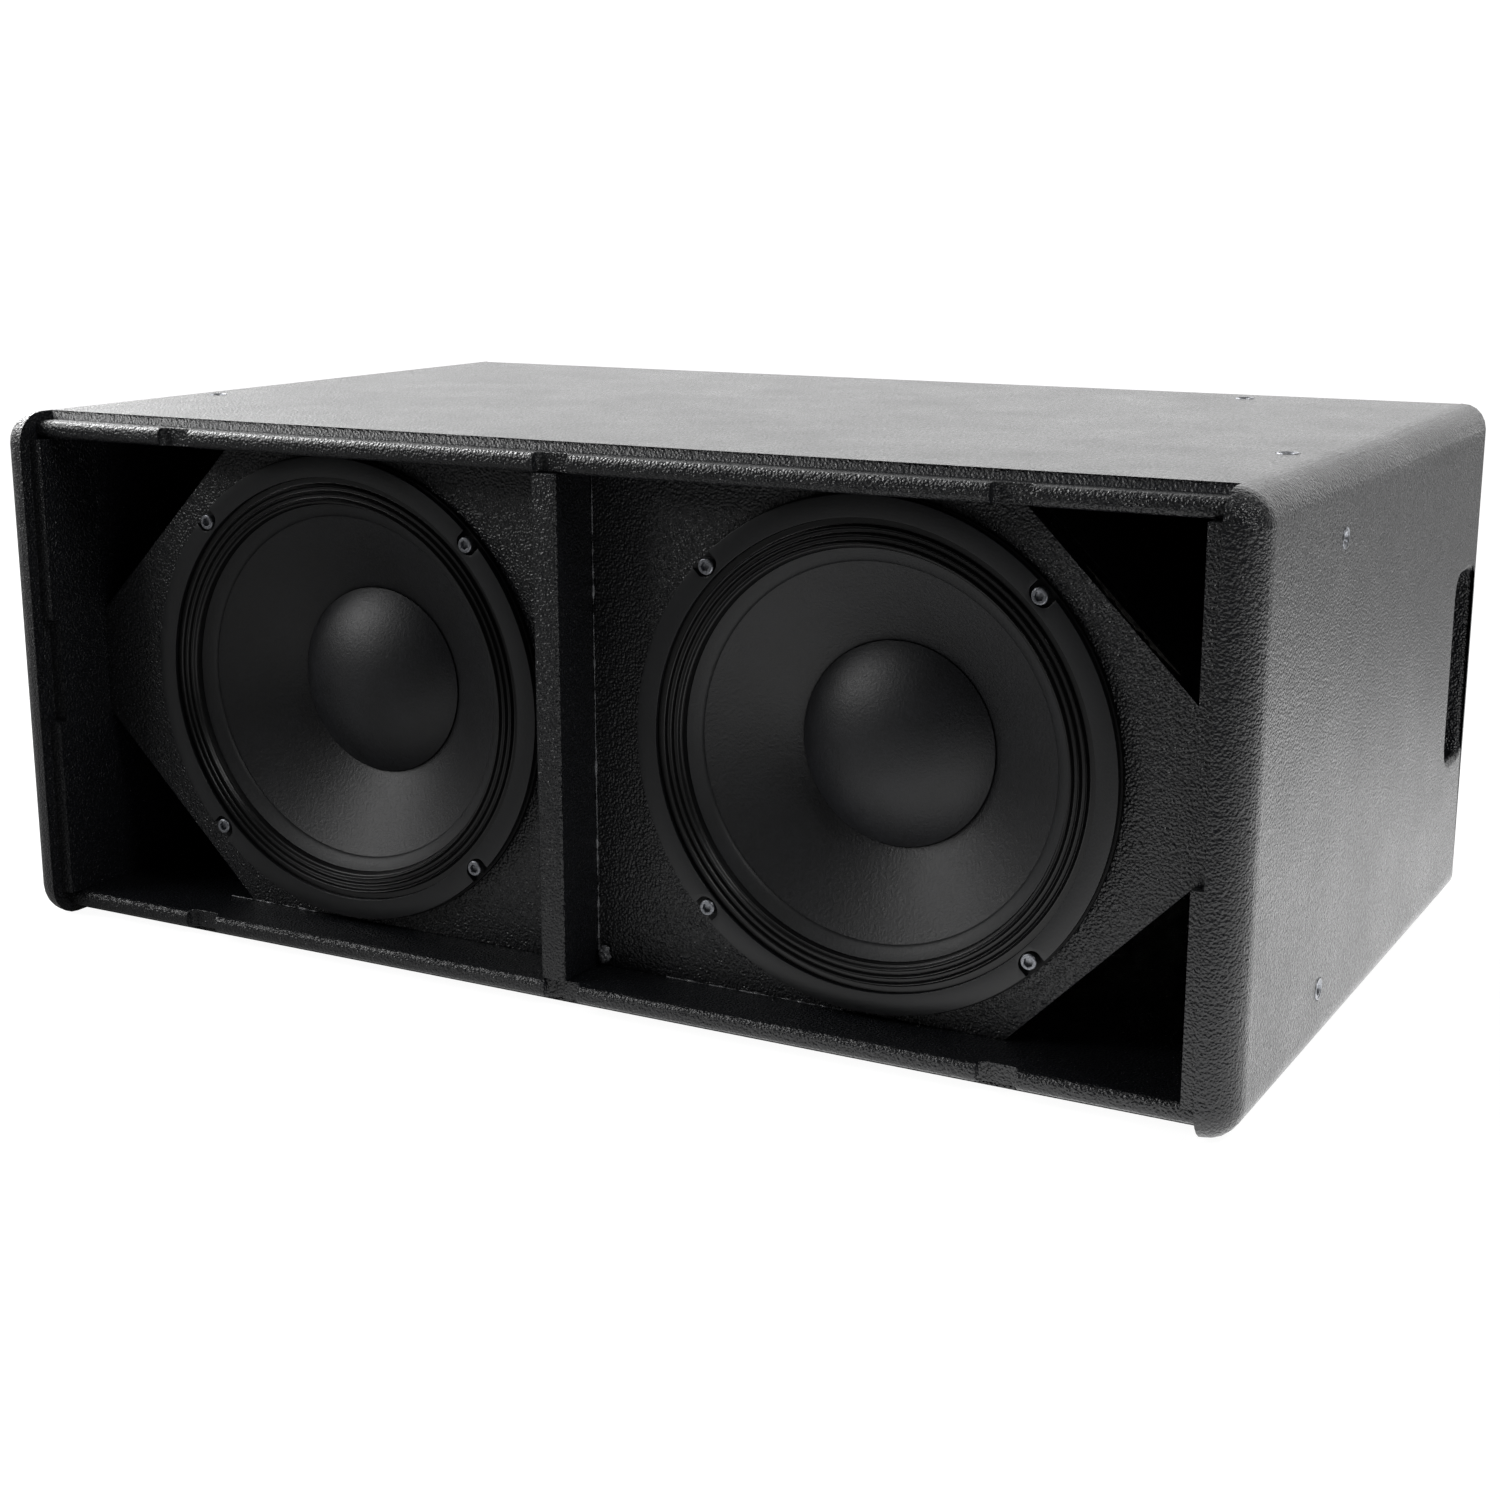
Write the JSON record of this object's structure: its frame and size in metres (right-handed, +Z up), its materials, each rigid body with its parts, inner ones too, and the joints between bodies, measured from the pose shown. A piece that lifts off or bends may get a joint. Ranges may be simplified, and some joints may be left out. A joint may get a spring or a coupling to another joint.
{
  "type": "loudspeaker cabinet",
  "caption": "Compact plywood bass loudspeaker cabinet lying on its long side, grille off, with cone drivers, corner ports, hand slots and threaded inserts",
  "frame": {"origin": "centre of the footprint, on the surface the cabinet stands on", "axes": "+X to the right as seen from the front, +Y to the back, +Z up; the front faces -Y"},
  "size_m": [0.74, 0.46, 0.3],
  "materials": {
    "textured_black_paint": "textured black paint on plywood",
    "birch_plywood": "bare birch plywood",
    "handle_plastic": "moulded black plastic",
    "zinc_plated_steel": "zinc plated",
    "black_oxide_steel": "black oxide",
    "black_coated_steel": "satin black coating on steel",
    "gasket_fibre": "dense black fibre",
    "doped_cloth": "pleated cloth with black damping coat",
    "paper_cone": "pressed black paper",
    "dust_cap_paper": "pressed black paper",
    "spider_cloth": "corrugated resin-stiffened cloth",
    "copper_winding": "enamelled copper wire on a former",
    "ferrite": "sintered ferrite",
    "connector_plastic": "moulded black plastic",
    "lead_pvc": "red cable insulation"
  },
  "bodies": {
    "cabinet": {"baffle": "textured_black_paint", "bottom_panel": "textured_black_paint", "centre_brace": "birch_plywood", "front_divider": "textured_black_paint", "input_plate": "black_coated_steel", "input_screw_1": "black_oxide_steel", "input_screw_2": "black_oxide_steel", "input_screw_3": "black_oxide_steel", "input_screw_4": "black_oxide_steel", "input_socket": "connector_plastic", "left_basket": "black_coated_steel", "left_bottom_port_board": "textured_black_paint", "left_driver_screw_1": "black_oxide_steel", "left_driver_screw_2": "black_oxide_steel", "left_driver_screw_3": "black_oxide_steel", "left_driver_screw_4": "black_oxide_steel", "left_front_plate": "zinc_plated_steel", "left_gasket_ring": "gasket_fibre", "left_handle_cup": "handle_plastic", "left_lead": "lead_pvc", "left_lower_insert": "black_oxide_steel", "left_magnet": "ferrite", "left_pole_yoke": "zinc_plated_steel", "left_side_panel": "textured_black_paint", "left_spider": "spider_cloth", "left_surround": "doped_cloth", "left_terminal_block": "connector_plastic", "left_top_port_board": "textured_black_paint", "left_upper_insert": "black_oxide_steel", "link_socket": "connector_plastic", "rear_panel": "textured_black_paint", "right_basket": "black_coated_steel", "right_bottom_port_board": "textured_black_paint", "right_driver_screw_1": "black_oxide_steel", "right_driver_screw_2": "black_oxide_steel", "right_driver_screw_3": "black_oxide_steel", "right_driver_screw_4": "black_oxide_steel", "right_front_plate": "zinc_plated_steel", "right_gasket_ring": "gasket_fibre", "right_handle_cup": "handle_plastic", "right_lead": "lead_pvc", "right_lower_insert": "black_oxide_steel", "right_magnet": "ferrite", "right_pole_yoke": "zinc_plated_steel", "right_side_panel": "textured_black_paint", "right_spider": "spider_cloth", "right_surround": "doped_cloth", "right_terminal_block": "connector_plastic", "right_top_port_board": "textured_black_paint", "right_upper_insert": "black_oxide_steel", "top_insert_front_left": "black_oxide_steel", "top_insert_front_right": "black_oxide_steel", "top_insert_rear": "black_oxide_steel", "top_panel": "textured_black_paint"},
    "left_moving_cone": {"left_cone": "paper_cone", "left_dust_cap": "dust_cap_paper", "left_voice_coil": "copper_winding"},
    "right_moving_cone": {"right_cone": "paper_cone", "right_dust_cap": "dust_cap_paper", "right_voice_coil": "copper_winding"}
  },
  "joints": [
    {"name": "left_cone_travel", "type": "slide", "parent": "cabinet", "child": "left_moving_cone", "axis": [0, 1, 0], "range_m": [-0.006, 0.006], "stiffness_N_per_m": 5000, "deforming": ["left_surround", "left_spider"]},
    {"name": "right_cone_travel", "type": "slide", "parent": "cabinet", "child": "right_moving_cone", "axis": [0, 1, 0], "range_m": [-0.006, 0.006], "stiffness_N_per_m": 5000, "deforming": ["right_surround", "right_spider"]}
  ]
}
